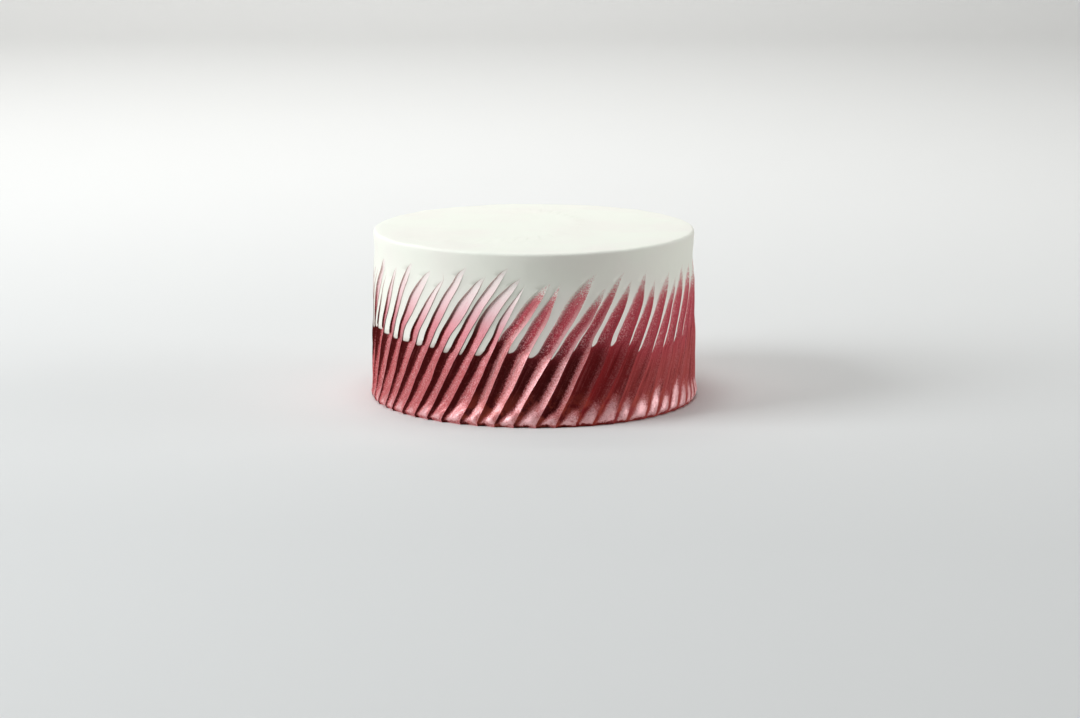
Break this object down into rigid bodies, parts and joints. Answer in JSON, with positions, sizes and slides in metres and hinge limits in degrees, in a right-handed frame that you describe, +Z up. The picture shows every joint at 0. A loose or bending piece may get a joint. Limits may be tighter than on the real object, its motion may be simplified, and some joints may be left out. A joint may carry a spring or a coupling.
{
  "type": "layer cake",
  "caption": "Round uncut layer cake in smooth white frosting, with a band of slanting red pearl palette-knife strokes round its side.",
  "frame": {"origin": "centre of the cake's flat base", "axes": "+Z up along the cake's axis, -Y towards the side that the picture shows, +X to the right seen from there"},
  "size_m": [0.1882, 0.1882, 0.0975],
  "materials": {
    "frosting": "satin"
  },
  "bodies": {
    "root": {"frosted_cake": "frosting"}
  },
  "joints": []
}
